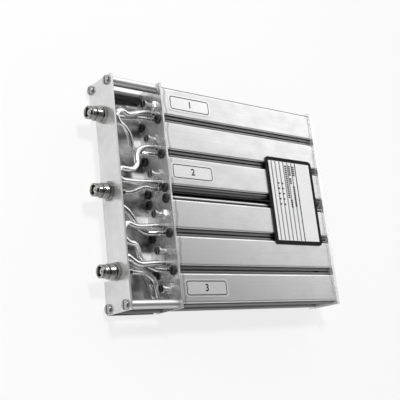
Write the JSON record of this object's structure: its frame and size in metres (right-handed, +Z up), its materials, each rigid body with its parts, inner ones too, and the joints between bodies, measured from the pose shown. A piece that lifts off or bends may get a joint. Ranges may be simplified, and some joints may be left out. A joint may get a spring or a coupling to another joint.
{
  "type": "cavity duplexer",
  "caption": "Flat duplexer with side-by-side coaxial chambers, slotted tuning screws and threaded jacks on a folded bracket, joined by bare looped coaxial leads.",
  "frame": {"origin": "under the middle of the whole length and width, in the plane of the back", "axes": "X from the jacks to the far end, Y towards the first chamber, Z up out of the labelled face, with the unit lying on its back"},
  "size_m": [0.264, 0.198, 0.0381],
  "materials": {
    "block_metal": "satin",
    "plate_metal": "satin",
    "bracket_metal": "semi-gloss",
    "line_metal": "satin",
    "zinc_steel": "satin",
    "black_steel": "satin",
    "jack_nickel": "polished",
    "plated_brass": "polished",
    "bare_brass": "satin",
    "tinned_copper": "semi-gloss",
    "loop_wire": "satin",
    "contact_gold": "polished",
    "white_insulator": "matte",
    "label_foil": "matte",
    "nameplate_print": "satin"
  },
  "bodies": {
    "chassis": {"connector_bracket": "bracket_metal", "near_end_plate": "plate_metal", "far_end_plate": "plate_metal", "cavity_block_a": "block_metal", "cavity_block_b": "block_metal", "standoffs": "plate_metal", "standoff_studs": "zinc_steel", "panel_screws": "zinc_steel", "near_end_screws": "black_steel", "far_end_screws": "black_steel", "line_foot_screws": "zinc_steel", "tuner_bushings": "plated_brass", "tuner_lock_nuts": "plated_brass", "jack_washers": "jack_nickel", "jack_nuts": "jack_nickel", "lead_ferrules": "tinned_copper", "coupling_loops_a": "loop_wire", "coupling_loops_b": "loop_wire", "nameplate": "nameplate_print", "resonator_line_1": "line_metal", "resonator_line_2": "line_metal", "resonator_line_3": "line_metal", "resonator_line_4": "line_metal", "resonator_line_5": "line_metal", "resonator_line_6": "line_metal", "jack_1": "jack_nickel", "jack_insulator_1": "white_insulator", "jack_contact_1": "contact_gold", "port_label_1": "label_foil", "jack_2": "jack_nickel", "jack_insulator_2": "white_insulator", "jack_contact_2": "contact_gold", "port_label_2": "label_foil", "jack_3": "jack_nickel", "jack_insulator_3": "white_insulator", "jack_contact_3": "contact_gold", "port_label_3": "label_foil", "lead_1": "tinned_copper", "lead_2": "tinned_copper", "lead_3": "tinned_copper", "lead_4": "tinned_copper", "lead_5": "tinned_copper", "lead_6": "tinned_copper", "lead_7": "tinned_copper", "lead_8": "tinned_copper"},
    "plunger_1": {"tuning_plunger_1": "bare_brass"},
    "screw_1": {"tuning_screw_1": "plated_brass"},
    "plunger_2": {"tuning_plunger_2": "bare_brass"},
    "screw_2": {"tuning_screw_2": "plated_brass"},
    "plunger_3": {"tuning_plunger_3": "bare_brass"},
    "screw_3": {"tuning_screw_3": "plated_brass"},
    "plunger_4": {"tuning_plunger_4": "bare_brass"},
    "screw_4": {"tuning_screw_4": "plated_brass"},
    "plunger_5": {"tuning_plunger_5": "bare_brass"},
    "screw_5": {"tuning_screw_5": "plated_brass"},
    "plunger_6": {"tuning_plunger_6": "bare_brass"},
    "screw_6": {"tuning_screw_6": "plated_brass"}
  },
  "joints": [
    {"name": "plunger_slide_1", "type": "slide", "parent": "chassis", "child": "plunger_1", "axis": [1, 0, 0], "range_m": [-0.0056, 0.0049]},
    {"name": "tuning_turn_1", "type": "hinge", "parent": "plunger_1", "child": "screw_1", "pos_m": [-0.05, 0.08115, 0.0261], "axis": [1, 0, 0], "range_deg": [-2885, 2525]},
    {"name": "plunger_slide_2", "type": "slide", "parent": "chassis", "child": "plunger_2", "axis": [1, 0, 0], "range_m": [-0.0056, 0.0049]},
    {"name": "tuning_turn_2", "type": "hinge", "parent": "plunger_2", "child": "screw_2", "pos_m": [-0.05, 0.0494, 0.0261], "axis": [1, 0, 0], "range_deg": [-2885, 2525]},
    {"name": "plunger_slide_3", "type": "slide", "parent": "chassis", "child": "plunger_3", "axis": [1, 0, 0], "range_m": [-0.0056, 0.0049]},
    {"name": "tuning_turn_3", "type": "hinge", "parent": "plunger_3", "child": "screw_3", "pos_m": [-0.05, 0.01765, 0.0261], "axis": [1, 0, 0], "range_deg": [-2885, 2525]},
    {"name": "plunger_slide_4", "type": "slide", "parent": "chassis", "child": "plunger_4", "axis": [1, 0, 0], "range_m": [-0.0056, 0.0049]},
    {"name": "tuning_turn_4", "type": "hinge", "parent": "plunger_4", "child": "screw_4", "pos_m": [-0.05, -0.01765, 0.0261], "axis": [1, 0, 0], "range_deg": [-2885, 2525]},
    {"name": "plunger_slide_5", "type": "slide", "parent": "chassis", "child": "plunger_5", "axis": [1, 0, 0], "range_m": [-0.0056, 0.0049]},
    {"name": "tuning_turn_5", "type": "hinge", "parent": "plunger_5", "child": "screw_5", "pos_m": [-0.05, -0.0494, 0.0261], "axis": [1, 0, 0], "range_deg": [-2885, 2525]},
    {"name": "plunger_slide_6", "type": "slide", "parent": "chassis", "child": "plunger_6", "axis": [1, 0, 0], "range_m": [-0.0056, 0.0049]},
    {"name": "tuning_turn_6", "type": "hinge", "parent": "plunger_6", "child": "screw_6", "pos_m": [-0.05, -0.08115, 0.0261], "axis": [1, 0, 0], "range_deg": [-2885, 2525]}
  ],
  "couplings": [
    {"joint": "tuning_turn_1", "follows": "plunger_slide_1", "rad_per_m": 8976},
    {"joint": "tuning_turn_2", "follows": "plunger_slide_2", "rad_per_m": 8976},
    {"joint": "tuning_turn_3", "follows": "plunger_slide_3", "rad_per_m": 8976},
    {"joint": "tuning_turn_4", "follows": "plunger_slide_4", "rad_per_m": 8976},
    {"joint": "tuning_turn_5", "follows": "plunger_slide_5", "rad_per_m": 8976},
    {"joint": "tuning_turn_6", "follows": "plunger_slide_6", "rad_per_m": 8976}
  ]
}
